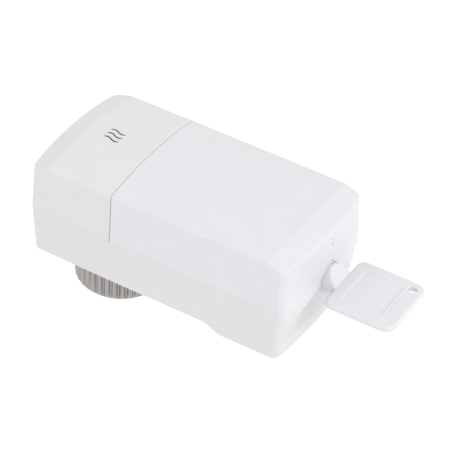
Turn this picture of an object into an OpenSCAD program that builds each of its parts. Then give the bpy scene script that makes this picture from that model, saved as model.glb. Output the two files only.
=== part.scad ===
// Motorised radiator-valve actuator head: battery-powered drive unit with a
// knurled M30 x 1.5 union nut and a key-operated, tamper-proof battery cover.
// Millimetres. Origin on the union nut's axis, in the plane of its open lower
// end. +Z points up out of the valve, +X towards the key end.

/* [Housing] */
// Width of the casing at the parting line
body_w = 54.7; // [54:0.1:57]
// Width of the casing across its top edges
top_w = 53.3; // [52.6:0.1:53.8]
// Width of the casing across its bottom edges
bottom_w = 52.3; // [51.6:0.1:53]
// Position of the nut end of the casing, at the corners
x_left = -22.2; // [-23:0.1:-22]
// Position of the key end of the casing, at the corners
x_right = 82.9; // [82.4:0.1:84]
// Outward bow of the key end at the middle of its width
bow_right = 3.3; // [2.5:0.1:4]
// Outward bow of the nut end at the middle of its width
bow_left = 0.9; // [0.3:0.1:1.2]
// Height of the parting line between lower housing and covers
z_split = 38.9; // [38.5:0.1:39.3]
// Height of the top edges along both long sides
z_top = 59.0; // [58.8:0.1:60]
// Rise of the crowned top at the middle of the width
crown = 2.6; // [2.2:0.1:3]
// Height of the underside of the casing
z_bottom = 19.8; // [19.6:0.1:20.2]
// Height of the underside of the bulge at the key end
z_bulge = 14.1; // [13.6:0.1:15]
// Wall thickness of the casing parts
wall = 2.0; // [1.8:0.1:2.2]
// Position of the seam between front cover and battery cover
x_seam = 12.2; // [11.8:0.1:12.4]
// Width of the visible seam
seam_gap = 0.3; // [0.2:0.05:0.4]

/* [Valve connection] */
// Outer diameter of the union nut over its ribs
nut_od = 34; // [33.5:0.1:35]
// Height of the union nut
nut_h = 18.4; // [18:0.1:18.8]
// Number of grip ribs on the union nut
nut_ribs = 36; // [30:1:40]
// Bore radius of the union nut's M30 x 1.5 thread (minor diameter 28.4)
nut_thread_r = 14.2; // [14.15:0.01:14.25]
// Depth of the threaded length
nut_thread_len = 9.5; // [9:0.1:10]
// Bore radius of the valve collar
collar_bore_r = 9.5; // [9.3:0.1:10]

/* [Drive] */
// Gear module
gear_m = 0.5; // [0.5:0.01:0.5]
// Teeth on the spindle gear
n_spindle = 48; // [48:1:48]
// Teeth on the large wheel of the second compound gear
n_c2 = 32; // [32:1:32]
// Teeth on the large wheel of the first compound gear
n_c1 = 24; // [24:1:24]
// Teeth on every pinion
n_pinion = 10; // [10:1:10]
// Travel of the valve push rod
stroke = 4.3; // [4:0.1:4.3]

/* [Batteries] */
// Diameter of one AA cell
cell_d = 14.5; // [14:0.1:14.5]
// Length of one AA cell over its positive terminal
cell_l = 50.5; // [49.5:0.1:50.5]
// Spacing between neighbouring cells
cell_pitch = 15.3; // [15.1:0.1:15.5]

/* [Key] */
// Length of the key's grip plate
key_l = 27; // [25:0.5:29]
// Width of the key's grip plate
key_w = 27.8; // [26:0.2:28.6]
// Thickness of the key's grip plate
key_t = 2.6; // [2.2:0.1:3]
// Radius of the key's round shank
key_r = 5.6; // [5:0.1:5.7]

/* [Hidden] */
$fn = 64;
e = 0.01;

cap_white = [0.93, 0.93, 0.94];
R_crown = (pow(top_w / 2, 2) + crown * crown) / (2 * crown);
x_bevel_l = -14.1;      // inner edge of the nut-end bevel
x_bevel_r = 75.6;       // inner edge of the key-end bevel, at the corners
bevel_l_deg = 17.5;
bevel_r_deg = 17.5;
recess_r = 6.2;         // round mouth around the key shank
recess_z = z_split;     // centre height of the mouth
recess_x = 80.2;        // back wall of the key recess
scoop_r = 24;           // finger scoop under the key
scoop_c = [103.6, 0, 27];

// gear positions
sp_pos = [0, 0];
c2_pos = [-2.5, 14.283];
c1_pos = [-12.367, 10.692];
mo_pos = [-13.108, 2.224];
z_l1 = 46.3; z_l2 = 48.6; z_l3 = 50.9;
z_base0 = 43.5; z_base1 = 45.5;
z_lid0 = 54.0; z_lid1 = 56.0;
posts = [[-15.8, -18], [7, -18], [7, 20], [-15.8, 20]];
tposts = [[17.5, -20.9], [17.5, 20.9], [76.6, -20.4], [76.6, 20.4]];

cell_z = 49.4;
cell_x0 = 18.6;
cell_x1 = cell_x0 + cell_l;
tray_z = 38.7;          // underside of the tray floor
btn = [76.4, -14.8];
led = [76.4, 15.2];
pcb_z = 33.0;

function arc_pts(c, r, a0, a1, n) =
    [for (i = [0:n]) c + r * [cos(a0 + (a1 - a0) * i / n), sin(a0 + (a1 - a0) * i / n)]];

// plan outline of the casing: bowed ends, slightly bowed sides, round corners
function plan(xl, xr, bl, br, w, r = 3, side = 0.25) =
    let (h = w / 2, n = 12, k = 5,
        fe = function(y, b) b * (1 - pow(y / h, 2)),
        fs = function(x) side * (1 - pow((2 * x - xl - xr) / (xr - xl), 2)))
    concat(
        [for (i = [-n:n]) let (y = i / n * (h - r)) [xr + fe(y, br) - fe(h - r, br), y]],
        [for (i = [1:k - 1]) let (a = i * 90 / k) [xr - r + r * cos(a), h - r + r * sin(a)]],
        [for (i = [0:n]) let (x = xr - r - i / n * (xr - xl - 2 * r)) [x, h + fs(x) - fs(xr - r)]],
        [for (i = [1:k - 1]) let (a = 90 + i * 90 / k) [xl + r + r * cos(a), h - r + r * sin(a)]],
        [for (i = [n:-1:-n]) let (y = i / n * (h - r)) [xl - fe(y, bl) + fe(h - r, bl), y]],
        [for (i = [1:k - 1]) let (a = 180 + i * 90 / k) [xl + r + r * cos(a), -(h - r) + r * sin(a)]],
        [for (i = [0:n]) let (x = xl + r + i / n * (xr - xl - 2 * r)) [x, -(h + fs(x) - fs(xr - r))]],
        [for (i = [1:k - 1]) let (a = 270 + i * 90 / k) [xr - r + r * cos(a), -(h - r) + r * sin(a)]]);

module slab(p, z) { translate([0, 0, z]) linear_extrude(height = 0.02) polygon(p); }

// tapered prism between two outlines
module loft2(p0, z0, p1, z1) { hull() { slab(p0, z0); slab(p1, z1 - 0.02); } }

// crowned space below the top surface and its two bevels, lowered by t
module crown_space(t) {
    module cyl(len) { translate([0, 0, z_top + crown - t - R_crown]) rotate([0, 90, 0])
        cylinder(r = R_crown, h = len, center = true, $fn = 360); }
    module tilt(x, a) {
        translate([x, 0, z_top + crown - t]) rotate([0, a, 0]) translate([-x, 0, -(z_top + crown - t)])
            cyl(400);
    }
    intersection() {
        cyl(400);
        tilt(x_bevel_l, -bevel_l_deg);
        tilt(x_bevel_r + bow_right * 0.55, bevel_r_deg);
    }
}

module upper_solid(i, t) {
    // i: wall inset of the sides, t: lowering of the top
    intersection() {
        loft2(plan(x_left + i, x_right - i, bow_left, bow_right, body_w - 2 * i, r = 3.2 - i * 0.5), z_split + 0.1,
            plan(x_left + i + 0.75, x_right - i - 0.75, bow_left, bow_right, top_w - 2 * i - 0.2, r = 3.2 - i * 0.5), 63);
        crown_space(t);
    }
}

module lower_solid(i, t) {
    loft2(plan(x_left + i + 0.9, 81.2 - i, bow_left * 0.6, 1.4, bottom_w - 2 * i, r = 3.2 - i * 0.5), z_bottom + t,
        plan(x_left + i, x_right - i, bow_left, bow_right, body_w - 2 * i, r = 3.2 - i * 0.5), z_split);
}

module bulge_solid(i, t) {
    loft2(plan(57 + i, 79.6 - i, 0.5, 1.2, 46.6 - 2 * i, r = 3), z_bulge + t,
        plan(48 + i, 81.2 - i, 0.5, 1.4, 51.9 - 2 * i, r = 3), z_bottom + t + 0.05);
}

module recess_cut(r, x) {
    translate([x, 0, recess_z]) rotate([0, 90, 0]) cylinder(r = r, h = 20);
}
module scoop_cut(r) { translate(scoop_c) sphere(r = r, $fn = 96); }

module lower_housing() {
    color(cap_white)
    difference() {
        union() {
            difference() {
                union() { lower_solid(0, 0); bulge_solid(0, 0); }
                difference() {
                    union() {
                        lower_solid(wall, wall - 0.2);
                        bulge_solid(wall, wall - 0.2);
                    }
                    scoop_cut(scoop_r + wall);
                    recess_cut(recess_r + wall, recess_x - wall);
                }
                translate([0, 0, z_split - 0.02]) cube([400, 200, 0.2], center = true);
            }
            // inner lip that locates the covers, on a ledge of the wall
            difference() {
                union() {
                    translate([0, 0, 35.2]) linear_extrude(height = 3.6)
                        polygon(plan(x_left + 1.3, x_right - 1.5, bow_left, bow_right, body_w - 2.6, r = 2.4));
                    translate([0, 0, 38.7]) linear_extrude(height = 1.7)
                        polygon(plan(x_left + 2.35, x_right - 2.35, bow_left, bow_right, body_w - 4.7, r = 2));
                }
                translate([0, 0, 35]) linear_extrude(height = 6)
                    polygon(plan(x_left + 3.3, x_right - 3.3, bow_left, bow_right, body_w - 6.6, r = 1.6));
                translate([80, 0, 38]) cube([16, 22.6, 20], center = true);
            }
            // posts for the gearbox and for tray and board
            for (p = posts) translate([p[0], p[1], z_bottom + 1]) cylinder(r = 3, h = z_base0 - z_bottom - 1);
            for (p = tposts) let (z0 = p[0] > 50 ? z_bulge + 1 : z_bottom + 1) translate([p[0], p[1], z0]) {
                cylinder(r = 2.4, h = pcb_z - z0);
                cylinder(r = 2.0, h = tray_z - z0);
            }
            // saddle under the lock
            translate([75.5, -7, z_bulge + 1]) cube([2.6, 14, z_bottom + 10.1 - z_bulge - 1]);
        }
        // collar hole
        translate([0, 0, z_bottom - 1]) cylinder(r = 12.1, h = 5, $fn = 96);
        scoop_cut(scoop_r);
        recess_cut(recess_r, recess_x);
        // passage for the key's shank through the back wall of the recess
        translate([70, 0, z_split]) rotate([0, 90, 0]) cylinder(r = key_r + 0.35, h = 20);
        // screw holes
        for (p = posts) translate([p[0], p[1], z_base0 - 9]) cylinder(r = 1.1, h = 12);
        for (p = tposts) translate([p[0], p[1], tray_z - 9]) cylinder(r = 0.9, h = 12);
    }
}

module front_cover() {
    color(cap_white)
    difference() {
        intersection() {
            upper_solid(0, 0);
            translate([-50, -50, 0]) cube([50 + x_seam - seam_gap / 2, 100, 100]);
        }
        intersection() {
            upper_solid(wall + 0.2, wall - 0.2);
            translate([-50, -50, 0]) cube([50 + x_seam - seam_gap / 2 - 1.6, 100, 100]);
        }
        // lets the tray floor and the lip pass under the end wall
        translate([5, -25.4, z_split]) cube([10, 50.8, 2.2]);
        // window for the rim of the spindle gear
        translate([5, -8.6, z_split]) cube([10, 17.2, 15.4]);
    }
}

module battery_cover() {
    color(cap_white)
    difference() {
        union() {
            difference() {
                intersection() {
                    upper_solid(0, 0);
                    translate([x_seam + seam_gap / 2, -50, 0]) cube([100, 100, 100]);
                }
                difference() {
                    intersection() {
                        upper_solid(wall + 0.2, wall - 0.2);
                        translate([0, -50, 0]) cube([200, 100, 100]);
                    }
                    recess_cut(recess_r + 1.6, recess_x - 1.6);
                }
            }
            // latch lug: the lock's cam turns in under its ledge
            difference() {
                translate([73.7, 6.9, 41.2]) cube([1.5, 5.4, 18.4]);
                translate([72, 6, 43]) cube([5, 4, 9]);
            }
            // stiffening ribs across the roof
            for (x = [26, 44, 62]) intersection() {
                upper_solid(1, 1);
                translate([x, -25.5, 57.7]) cube([1.2, 51, 5]);
            }
        }
        recess_cut(recess_r, recess_x);
        translate([70, 0, z_split]) rotate([0, 90, 0]) cylinder(r = key_r + 0.35, h = 20);
        translate([77, -key_r - 0.35, z_split - 2]) cube([12, 2 * key_r + 0.7, 2.1]);
        // three small mark pits on the end face, one above the key, two near the top
        for (m = [[1.2, 7.0, 0.5], [0.7, 14.4, 0.4], [0.7, 16.5, 0.4]])
            translate([85.2, m[0], z_split + m[1]]) rotate([0, 90, 0]) cylinder(r = m[2], h = 6, $fn = 24);
    }
}

// ---- valve connection -------------------------------------------------
module nut_outline() {
    r1 = nut_od / 2; r0 = r1 - 0.75; p = 360 / nut_ribs;
    polygon([for (i = [0:nut_ribs - 1]) each [
        r0 * [cos(p * (i - 0.5)), sin(p * (i - 0.5))],
        r0 * [cos(p * (i - 0.36)), sin(p * (i - 0.36))],
        r1 * [cos(p * (i - 0.24)), sin(p * (i - 0.24))],
        r1 * [cos(p * i), sin(p * i)],
        r1 * [cos(p * (i + 0.24)), sin(p * (i + 0.24))],
        r0 * [cos(p * (i + 0.36)), sin(p * (i + 0.36))]]]);
}

module union_nut() {
    r1 = nut_od / 2;
    color([0.62, 0.6, 0.57])
    difference() {
        intersection() {
            linear_extrude(height = nut_h) nut_outline();
            rotate_extrude($fn = 120) polygon([[0, 0], [r1 - 0.9, 0], [r1 + 0.3, 1.3],
                [r1 + 0.3, nut_h - 1.1], [r1 - 0.8, nut_h], [0, nut_h]]);
        }
        // thread bore, thread relief, then the bore that turns on the collar
        translate([0, 0, -1]) cylinder(r = nut_thread_r, h = nut_thread_len + 1, $fn = 120);
        translate([0, 0, nut_thread_len]) cylinder(r = 15.1, h = 4.9, $fn = 120);
        translate([0, 0, 10]) cylinder(r = 12.6, h = 20, $fn = 120);
    }
}

module valve_collar() {
    color([0.8, 0.72, 0.5])
    rotate_extrude($fn = 120) polygon([[collar_bore_r, 9.9], [14.0, 9.9], [14.0, 13.9],
        [12.54, 13.9], [12.54, z_bottom - 0.02], [11.8, z_bottom - 0.02], [11.8, 26], [collar_bore_r, 26]]);
}

module collar_locknut() {
    color([0.75, 0.75, 0.74])
    difference() {
        translate([0, 0, z_bottom + wall - 0.2]) linear_extrude(height = 3.0)
            circle(r = 15.6, $fn = 6);
        translate([0, 0, 15]) cylinder(r = 11.85, h = 20, $fn = 120);
    }
}

// ---- gears --------------------------------------------------------------
function inv(rb, t) = [rb * (cos(t) + t * PI / 180 * sin(t)), rb * (sin(t) - t * PI / 180 * cos(t))];
function t_at(rb, r) = r <= rb ? 0 : sqrt(pow(r / rb, 2) - 1) * 180 / PI;
function polar_at(rb, r) = let (p = inv(rb, t_at(rb, r))) atan2(p[1], p[0]);

// outline of an involute gear with n teeth; ph is the angle of one tooth's centre
module gear2d(n, ph = 0, add = 0.86, ded = 1.3, slack = 0.1) {
    m = gear_m; rp = n * m / 2; rb = rp * cos(20);
    ra = rp + add * m; rf = rp - ded * m;
    half = 90 / n - slack / rp / 2 * 180 / PI;
    off = half + polar_at(rb, rp);
    // below the base circle the flanks run almost radially
    rs = [max(rb, rf) , (max(rb, rf) + rp) / 2, rp, (rp + ra) / 2, ra];
    polygon([for (i = [0:n - 1]) let (c = ph + i * 360 / n) each concat(
        [rf * [cos(c - 180 / n), sin(c - 180 / n)]],
        rb > rf ? [rf * [cos(c - off * 0.98), sin(c - off * 0.98)]] : [],
        [for (r = rs) let (a = (r <= rb + 0.001 ? (rb > rf ? off * 0.93 : off) : off - polar_at(rb, r))) r * [cos(c - a), sin(c - a)]],
        [for (k = [len(rs) - 1:-1:0]) let (r = rs[k], a = (r <= rb + 0.001 ? (rb > rf ? off * 0.93 : off) : off - polar_at(rb, r))) r * [cos(c + a), sin(c + a)]],
        rb > rf ? [rf * [cos(c + off * 0.98), sin(c + off * 0.98)]] : [])]);
}

// tooth phase of a gear with nb teeth that meshes with one of na teeth and phase pa,
// where d is the direction from the first gear to the second
function mesh_phase(na, pa, nb, d) =
    let (fa = (d - pa) * na / 360) d + 180 - (0.5 + (ceil(fa) - fa)) * 360 / nb;

d_sp_c2 = atan2(c2_pos[1], c2_pos[0]);
d_c2_c1 = atan2(c1_pos[1] - c2_pos[1], c1_pos[0] - c2_pos[0]);
d_c1_mo = atan2(mo_pos[1] - c1_pos[1], mo_pos[0] - c1_pos[0]);
ph_c2p = mesh_phase(n_spindle, 0, n_pinion, d_sp_c2);
ph_c1p = mesh_phase(n_c2, 0, n_pinion, d_c2_c1);
ph_mo = mesh_phase(n_c1, 0, n_pinion, d_c1_mo);

module at(p, z = 0) { translate([p[0], p[1], z]) children(); }

module compound_gear_1() {
    color([0.9, 0.88, 0.8])
    at(c1_pos) difference() {
        union() {
            translate([0, 0, z_l1]) linear_extrude(height = 2.0) gear2d(n_c1, 0);
            translate([0, 0, z_l1]) cylinder(r = 1.7, h = 6.6, $fn = 48);
            translate([0, 0, z_l1 + 1.9]) linear_extrude(height = 2.5) gear2d(n_pinion, ph_c1p);
        }
        translate([0, 0, 40]) cylinder(r = 0.80, h = 20, $fn = 48);
    }
}

module compound_gear_2() {
    color([0.9, 0.88, 0.8])
    at(c2_pos) difference() {
        union() {
            translate([0, 0, z_l2]) linear_extrude(height = 2.0) gear2d(n_c2, 0);
            translate([0, 0, z_l1 - 0.4]) cylinder(r = 1.7, h = 7.7, $fn = 48);
            translate([0, 0, z_l2 + 1.9]) linear_extrude(height = 2.9) gear2d(n_pinion, ph_c2p);
        }
        translate([0, 0, 40]) cylinder(r = 0.80, h = 20, $fn = 48);
    }
}

module spindle_gear() {
    color([0.93, 0.93, 0.9])
    difference() {
        union() {
            translate([0, 0, z_l3]) linear_extrude(height = 2.2) gear2d(n_spindle, 0);
            translate([0, 0, z_base1 + 0.2]) cylinder(r = 5.5, h = z_lid0 - z_base1 - 0.4);
            translate([0, 0, z_base1 + 0.2]) cylinder(r = 4.9, h = z_lid1 - z_base1 + 0.1);
        }
        translate([0, 0, 40]) cylinder(r = 3.55, h = 20);
        // lightening pockets
        for (a = [0:60:300]) rotate(a) translate([8.6, 0, z_l3 - 1]) cylinder(r = 1.9, h = 6);
    }
}

module push_rod() {
    color([0.86, 0.86, 0.88])
    difference() {
        union() {
            translate([0, 0, 26.7]) cylinder(r = 6, h = 2.1);
            translate([0, 0, 28.7]) cylinder(r = 4, h = 14);
            translate([0, 0, 42.6]) cylinder(r = 3.48, h = 13.2);
            translate([0, 0, 26.4]) cylinder(r1 = 5.2, r2 = 6, h = 0.35);
        }
        // flats that stop the rod from turning
        for (s = [-1, 1]) translate([-5, s * 6.3 - 3, 28.85]) cube([10, 6, 18.8]);
    }
}

module gearbox_base() {
    color([0.3, 0.31, 0.33])
    difference() {
        union() {
            translate([-19, -21, z_base0]) cube([29, 44, z_base1 - z_base0]);
            translate([0, 0, 31]) cylinder(r = 6.2, h = z_base0 - 31 + e);
            at(mo_pos, 40.5) cylinder(r = 6.5, h = z_base0 - 40.5 + e);
            at(c1_pos, z_base0) cylinder(r = 1.8, h = 2.6);
        }
        // plate edge kept off the rounded corners of the casing
        for (y = [-22.2, 24.2]) translate([-20.2, y, 40]) rotate(45) cube([5, 5, 20], center = true);
        // guide for the push rod
        intersection() {
            translate([0, 0, 25]) cylinder(r = 4.06, h = 30);
            translate([0, 0, 40]) cube([12, 6.72, 40], center = true);
        }
        translate([0, 0, z_base0 - 0.4]) cylinder(r = 4.3, h = 5);
        at(mo_pos, 30) cylinder(r = 6.05, h = 12.7);
        at(mo_pos, 40) cylinder(r = 2.1, h = 10);
        for (p = posts) at(p, 40) cylinder(r = 1.35, h = 10);
        at(c1_pos, z_base0 + 0.8) cylinder(r = 0.76, h = 5, $fn = 48);
        at(c2_pos, z_base0 + 0.8) cylinder(r = 0.76, h = 5, $fn = 48);
    }
}

module gearbox_lid() {
    color([0.3, 0.31, 0.33])
    difference() {
        union() {
            translate([-18.3, -20.6, z_lid0]) cube([28, 43, z_lid1 - z_lid0]);
            for (p = posts) at(p, z_base1) cylinder(r = 2.5, h = z_lid0 - z_base1 + e);
        }
        for (y = [-21.6, 23.4]) translate([-19.6, y, 50]) rotate(45) cube([5.5, 5.5, 20], center = true);
        translate([0, 0, z_lid0 - 1]) cylinder(r = 4.95, h = 5);
        for (p = posts) at(p, 40) cylinder(r = 1.35, h = 20);
        at(c1_pos, z_lid0 - 1) cylinder(r = 0.76, h = 2.2, $fn = 48);
        at(c2_pos, z_lid0 - 1) cylinder(r = 0.76, h = 2.2, $fn = 48);
        // window that saves weight over the free corner
        translate([-3, -17, z_lid0 - 1]) cube([7, 8, 5]);
    }
}

module gear_axles() {
    color([0.75, 0.75, 0.76])
    for (p = [c1_pos, c2_pos]) at(p, z_base0 + 0.9) cylinder(r = 0.75, h = z_lid0 + 1 - z_base0 - 1, $fn = 48);
}

module gearbox_screws() {
    color([0.7, 0.7, 0.7])
    for (p = posts) at(p) {
        translate([0, 0, z_base0 - 7]) cylinder(r = 1.05, h = z_lid1 - z_base0 + 7.2, $fn = 32);
        difference() {
            translate([0, 0, z_lid1 + 0.02]) cylinder(r = 2.1, h = 0.85, $fn = 32);
            translate([0, 0, z_lid1 + 1.0]) cube([3, 0.5, 1], center = true);
            translate([0, 0, z_lid1 + 1.0]) cube([0.5, 3, 1], center = true);
        }
    }
}

module motor() {
    color([0.72, 0.72, 0.74])
    at(mo_pos) difference() {
        union() {
            translate([0, 0, 27.4]) cylinder(r = 6, h = 15.2);
            translate([0, 0, 42]) cylinder(r = 2.0, h = 2.6);
            translate([0, 0, 26.4]) cylinder(r = 2.4, h = 1.2);
            for (s = [-1, 1]) translate([-0.8, s * 3.6 - 0.3, 24.9]) cube([1.6, 0.6, 2.7]);
        }
        translate([0, 0, 38]) cylinder(r = 0.56, h = 10, $fn = 48);
    }
}

module motor_shaft() {
    color([0.8, 0.8, 0.82])
    at(mo_pos, 38.5) cylinder(r = 0.5, h = 10.6, $fn = 48);
}

module motor_pinion() {
    color([0.85, 0.72, 0.35])
    at(mo_pos) difference() {
        translate([0, 0, z_l1 - 0.2]) linear_extrude(height = 2.3) gear2d(n_pinion, ph_mo);
        translate([0, 0, 40]) cylinder(r = 0.49, h = 20, $fn = 48);
    }
}

// ---- battery compartment -------------------------------------------------
module battery_tray() {
    x0 = x_seam + 0.9; fl = 1.7;
    color([0.86, 0.86, 0.87])
    difference() {
        union() {
            translate([x0, -23.2, tray_z]) cube([78.6 - x0, 46.4, fl]);
            // end walls carrying the contacts
            translate([14.2, -23.2, tray_z]) cube([1.4, 46.4, 14.5]);
            translate([71.9, -23.2, tray_z]) cube([1.4, 46.4, 14.5]);
            // side walls
            for (s = [-1, 1]) translate([14.2, s * 23.1 - 0.6, tray_z]) cube([59.1, 1.2, 8.5]);
            // saddles under the cells
            for (x = [24, 43, 62]) translate([x, -22.6, tray_z]) cube([1.6, 45.2, 5.6]);
        }
        for (i = [-1:1]) translate([16, i * cell_pitch, cell_z]) rotate([0, 90, 0]) cylinder(r = cell_d / 2 + 0.15, h = 55.5);
        // notch around the lock
        translate([73.3, -11.2, 30]) cube([20, 22.4, 20]);
        // button, light guide and screws
        at(btn, 30) cylinder(r = 3.05, h = 15);
        at(led, 30) cylinder(r = 1.55, h = 15, $fn = 48);
        for (p = tposts) at(p, 30) cylinder(r = 1.2, h = 15, $fn = 48);
        // window for the contact tails
        for (x = [15.6, 71.15]) for (i = [-1:1]) translate([x, i * cell_pitch - 1.6, tray_z - 1]) cube([0.75, 3.2, 3.4]);
    }
}

module tray_screws() {
    color([0.7, 0.7, 0.7])
    for (p = tposts) at(p) {
        translate([0, 0, tray_z - 6]) cylinder(r = 0.88, h = 8, $fn = 32);
        difference() {
            translate([0, 0, tray_z + 1.72]) cylinder(r = 1.52, h = 1.0, $fn = 32);
            translate([0, 0, tray_z + 2.8]) cube([2.2, 0.45, 1], center = true);
            translate([0, 0, tray_z + 2.8]) cube([0.45, 2.2, 1], center = true);
        }
    }
}

module battery_cells() {
    color([0.55, 0.6, 0.66])
    for (i = [-1:1]) {
        flip = (i == 0);
        translate([flip ? cell_x1 : cell_x0, i * cell_pitch, cell_z]) rotate([0, flip ? -90 : 90, 0])
            rotate_extrude() polygon([[0, 0.4], [3.4, 0.4], [3.8, 0], [6.6, 0], [7.25, 0.6],
                [cell_d / 2, cell_l - 2.2], [cell_d / 2 - 0.7, cell_l - 1.6], [3.2, cell_l - 1.3],
                [2.75, cell_l - 1.1], [2.75, cell_l - 0.2], [2.4, cell_l], [0, cell_l]]);
    }
}

module contact_plates() {
    color([0.78, 0.76, 0.7])
    for (i = [-1:1]) {
        translate([15.65, i * cell_pitch - 4.6, tray_z + 4.6]) cube([0.5, 9.2, 9.2]);
        translate([71.35, i * cell_pitch - 4.6, tray_z + 4.6]) cube([0.5, 9.2, 9.2]);
        if (i != 0) translate([69.7, i * cell_pitch, cell_z]) rotate([0, 90, 0]) cylinder(r = 2.6, h = 1.7);
        if (i == 0) translate([16.1, 0, cell_z]) rotate([0, 90, 0]) cylinder(r = 2.6, h = 1.9);
        for (x = [15.65, 71.35]) translate([x, i * cell_pitch - 1.3, pcb_z + 2.6]) cube([0.5, 2.6, 8]);
    }
}

module contact_springs() {
    color([0.8, 0.8, 0.8])
    for (i = [-1:1]) {
        flip = (i == 0);
        translate([flip ? 71.3 : 16.2, i * cell_pitch, cell_z]) rotate([0, flip ? -90 : 90, 0])
            rotate_extrude() polygon([[3.2, 0], [4.2, 0], [3.6, 2.3], [2.6, 2.3]]);
    }
}

module circuit_board() {
    color([0.1, 0.35, 0.2])
    difference() {
        translate([15, -23.4, pcb_z]) cube([64, 46.8, 1.6]);
        translate([70.6, -11.2, 30]) cube([20, 22.4, 20]);
        for (p = tposts) at(p, 30) cylinder(r = 2.2, h = 15);
    }
}

module controller_chip() {
    color([0.12, 0.12, 0.13])
    translate([34, -6, pcb_z + 1.62]) cube([9, 9, 1.2]);
}

module radio_module() {
    color([0.75, 0.75, 0.77])
    union() {
        translate([52, 8, pcb_z + 1.62]) cube([14, 11, 2.4]);
        translate([50.5, 6.5, pcb_z + 1.62]) cube([17, 14, 0.8]);
    }
}

module buffer_capacitor() {
    color([0.15, 0.17, 0.3])
    translate([60, -9, 25.4]) rotate([0, 90, 0]) union() {
        cylinder(r = 5, h = 12);
        for (s = [-1, 1]) translate([-7.8, s * 1.25 - 0.3, -1.2]) cube([8.3, 0.6, 0.6]);
        for (s = [-1, 1]) translate([-0.3, s * 1.25 - 0.3, -1.2]) cube([0.6, 0.6, 1.6]);
    }
}

module terminal_block() {
    color([0.93, 0.92, 0.88])
    difference() {
        translate([18, -14, pcb_z + 1.62]) cube([5, 9, 3.2]);
        translate([17, -13, pcb_z + 2.4]) cube([4, 7, 1.6]);
    }
}

module tact_switch() {
    color([0.2, 0.2, 0.21])
    at(btn, pcb_z + 1.62) union() {
        translate([-2.25, -2.25, 0]) cube([4.5, 4.5, 1.5]);
        cylinder(r = 1.2, h = 2.0);
    }
}

module system_button() {
    color([0.45, 0.47, 0.5])
    at(btn) union() {
        translate([0, 0, pcb_z + 4.3]) cylinder(r = 3.4, h = 0.8);
        translate([0, 0, pcb_z + 4.3]) cylinder(r = 2.98, h = 4.0);
        translate([0, 0, pcb_z + 8.2]) cylinder(r1 = 2.98, r2 = 2.6, h = 0.5);
    }
}

module status_led() {
    color([0.95, 0.6, 0.2])
    at(led, pcb_z + 1.62) union() {
        translate([-1.6, -1, 0]) cube([3.2, 2, 0.8]);
        translate([0, 0, 0.7]) cylinder(r = 0.8, h = 0.6, $fn = 32);
    }
}

module light_guide() {
    color([0.9, 0.95, 1, 0.5])
    at(led) union() {
        translate([0, 0, pcb_z + 3.4]) cylinder(r = 1.5, h = 4.4, $fn = 48);
        translate([0, 0, pcb_z + 4.4]) cylinder(r = 2.2, h = 1.2, $fn = 48);
    }
}

// ---- lock and key ----------------------------------------------------------
module lock_block() {
    color([0.8, 0.8, 0.82])
    difference() {
        translate([75.5, -8.6, z_bottom + 10.1]) cube([2.0, 17.2, z_split + 8.0 - z_bottom - 10.1]);
        translate([70, 0, z_split]) rotate([0, 90, 0]) cylinder(r = 4.86, h = 20);
    }
}

module lock_rotor() {
    color([0.35, 0.36, 0.38])
    difference() {
        union() {
            translate([73.6, 0, z_split]) rotate([0, 90, 0]) cylinder(r = 4.8, h = 5.8);
            // cam that turns in under the cover's ledge
            translate([73.6, -1.5, z_split - 9.0]) cube([1.6, 3.0, 8]);
        }
        // slot for the key bit
        translate([75.2, -3.1, z_split - 1.1]) cube([10, 6.2, 2.2]);
    }
}

module key_plate2d() {
    r1 = 4.6; r2 = 3.2; x0 = 91; x1 = 91 + key_l; h = key_w / 2;
    polygon(concat(
        arc_pts([x1 - r1, h - r1], r1, 0, 90, 8), arc_pts([x0 + r2, h - r2], r2, 90, 180, 6),
        arc_pts([x0 + r2, -h + r2], r2, 180, 270, 6), arc_pts([x1 - r1, -h + r1], r1, 270, 360, 8)));
}

module key() {
    color([0.92, 0.92, 0.94])
    difference() {
        union() {
            translate([0, 0, z_split - key_t / 2]) linear_extrude(height = key_t) key_plate2d();
            // round shank, cut off at 45 degrees above and below the plate
            intersection() {
                translate([79.6, 0, z_split]) rotate([0, 90, 0]) cylinder(r = key_r, h = 14);
                translate([0, 20, z_split]) rotate([90, 0, 0]) linear_extrude(height = 40)
                    polygon([[79, -6], [86.6, -6], [91.3, -key_t / 2], [93, -key_t / 2],
                        [93, key_t / 2], [91.3, key_t / 2], [86.6, 6], [79, 6]]);
            }
            // bit
            translate([75.6, -2.9, z_split - 0.9]) cube([5, 5.8, 1.8]);
        }
        // shallow panels on both faces of the plate
        for (s = [-1, 1]) translate([95.4, -9.2, z_split + s * (key_t / 2) - 0.25]) cube([15.4, 18.4, 0.5]);
        // key-ring hole
        translate([113.7, 9.6, z_split - 5]) cylinder(r = 1.6, h = 10, $fn = 48);
    }
}

lower_housing();
front_cover();
battery_cover();
union_nut();
valve_collar();
collar_locknut();
gearbox_base();
gearbox_lid();
gearbox_screws();
motor();
motor_shaft();
motor_pinion();
compound_gear_1();
compound_gear_2();
gear_axles();
spindle_gear();
push_rod();
battery_tray();
tray_screws();
battery_cells();
contact_plates();
contact_springs();
circuit_board();
controller_chip();
radio_module();
buffer_capacitor();
terminal_block();
tact_switch();
system_button();
status_led();
light_guide();
lock_block();
lock_rotor();
key();
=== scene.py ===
import bpy, bmesh, math
from mathutils import Vector, Matrix


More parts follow.
